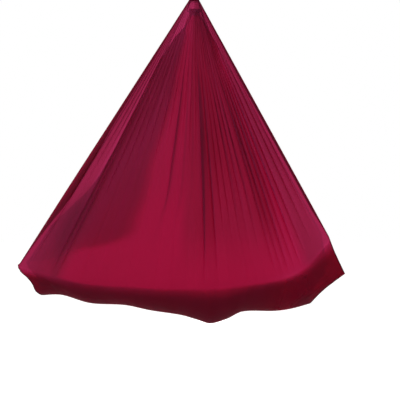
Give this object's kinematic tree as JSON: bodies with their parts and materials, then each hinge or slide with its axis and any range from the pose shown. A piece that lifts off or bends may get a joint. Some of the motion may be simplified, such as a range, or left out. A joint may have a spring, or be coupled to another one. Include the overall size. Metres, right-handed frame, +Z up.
{
  "type": "aerial yoga hammock",
  "caption": "Wide sheer sheet gathered at its ends and hung as a cocoon from ceiling brackets by slings, screw-lock carabiners and daisy-chain straps.",
  "frame": {"origin": "on the ceiling, midway between the two brackets", "axes": "+Z up, +X along the lying space towards the head end, +Y from the near bracket to the far one"},
  "size_m": [1.7059, 0.562, 2.3314],
  "materials": {
    "tricot": "sheer knitted nylon, soft sheen",
    "webbing": "woven polyester, matt",
    "steel": "satin steel",
    "anodised": "anodised, satin",
    "zinc": "zinc plated",
    "powder_coat": "satin powder coat"
  },
  "bodies": {
    "ceiling": {"near_ceiling_bracket": "powder_coat", "near_washer_1": "zinc", "near_washer_2": "zinc", "near_washer_3": "zinc", "near_washer_4": "zinc", "near_ceiling_screw_1": "zinc", "near_ceiling_screw_2": "zinc", "near_ceiling_screw_3": "zinc", "near_ceiling_screw_4": "zinc", "far_ceiling_bracket": "powder_coat", "far_washer_1": "zinc", "far_washer_2": "zinc", "far_washer_3": "zinc", "far_washer_4": "zinc", "far_ceiling_screw_1": "zinc", "far_ceiling_screw_2": "zinc", "far_ceiling_screw_3": "zinc", "far_ceiling_screw_4": "zinc"},
    "hammock": {"hammock_sheet": "tricot", "near_upper_carabiner_frame": "steel", "near_daisy_strap": "webbing", "near_lower_carabiner_frame": "steel", "near_sling": "webbing", "far_upper_carabiner_frame": "steel", "far_daisy_strap": "webbing", "far_lower_carabiner_frame": "steel", "far_sling": "webbing"},
    "near_upper_gate": {"near_upper_carabiner_gate": "anodised", "near_upper_carabiner_gate_pin": "steel", "near_upper_carabiner_gate_spring": "steel"},
    "near_upper_sleeve": {"near_upper_carabiner_sleeve": "steel"},
    "near_lower_gate": {"near_lower_carabiner_gate": "anodised", "near_lower_carabiner_gate_pin": "steel", "near_lower_carabiner_gate_spring": "steel"},
    "near_lower_sleeve": {"near_lower_carabiner_sleeve": "steel"},
    "far_upper_gate": {"far_upper_carabiner_gate": "anodised", "far_upper_carabiner_gate_pin": "steel", "far_upper_carabiner_gate_spring": "steel"},
    "far_upper_sleeve": {"far_upper_carabiner_sleeve": "steel"},
    "far_lower_gate": {"far_lower_carabiner_gate": "anodised", "far_lower_carabiner_gate_pin": "steel", "far_lower_carabiner_gate_spring": "steel"},
    "far_lower_sleeve": {"far_lower_carabiner_sleeve": "steel"}
  },
  "joints": [
    {"name": "swing", "type": "hinge", "parent": "ceiling", "child": "hammock", "pos_m": [0, 0, -0.0292], "axis": [0, 1, 0], "range_deg": [-40, 40]},
    {"name": "near_upper_gate_hinge", "type": "hinge", "parent": "hammock", "child": "near_upper_gate", "pos_m": [0, -0.2735, -0.0987], "axis": [-1, 0, 0], "range_deg": [0, 25], "stiffness_Nm_per_rad": 0.8, "springref_deg": -17.19},
    {"name": "near_upper_sleeve_slide", "type": "slide", "parent": "near_upper_gate", "child": "near_upper_sleeve", "axis": [0, 0, 1], "range_m": [0, 0.0105]},
    {"name": "near_lower_gate_hinge", "type": "hinge", "parent": "hammock", "child": "near_lower_gate", "pos_m": [0, -0.2735, -0.4377], "axis": [-1, 0, 0], "range_deg": [0, 25], "stiffness_Nm_per_rad": 0.8, "springref_deg": -17.19},
    {"name": "near_lower_sleeve_slide", "type": "slide", "parent": "near_lower_gate", "child": "near_lower_sleeve", "axis": [0, 0, 1], "range_m": [0, 0.0105]},
    {"name": "far_upper_gate_hinge", "type": "hinge", "parent": "hammock", "child": "far_upper_gate", "pos_m": [0, 0.2735, -0.0987], "axis": [1, 0, 0], "range_deg": [0, 25], "stiffness_Nm_per_rad": 0.8, "springref_deg": -17.19},
    {"name": "far_upper_sleeve_slide", "type": "slide", "parent": "far_upper_gate", "child": "far_upper_sleeve", "axis": [0, 0, 1], "range_m": [0, 0.0105]},
    {"name": "far_lower_gate_hinge", "type": "hinge", "parent": "hammock", "child": "far_lower_gate", "pos_m": [0, 0.2735, -0.4377], "axis": [1, 0, 0], "range_deg": [0, 25], "stiffness_Nm_per_rad": 0.8, "springref_deg": -17.19},
    {"name": "far_lower_sleeve_slide", "type": "slide", "parent": "far_lower_gate", "child": "far_lower_sleeve", "axis": [0, 0, 1], "range_m": [0, 0.0105]}
  ]
}
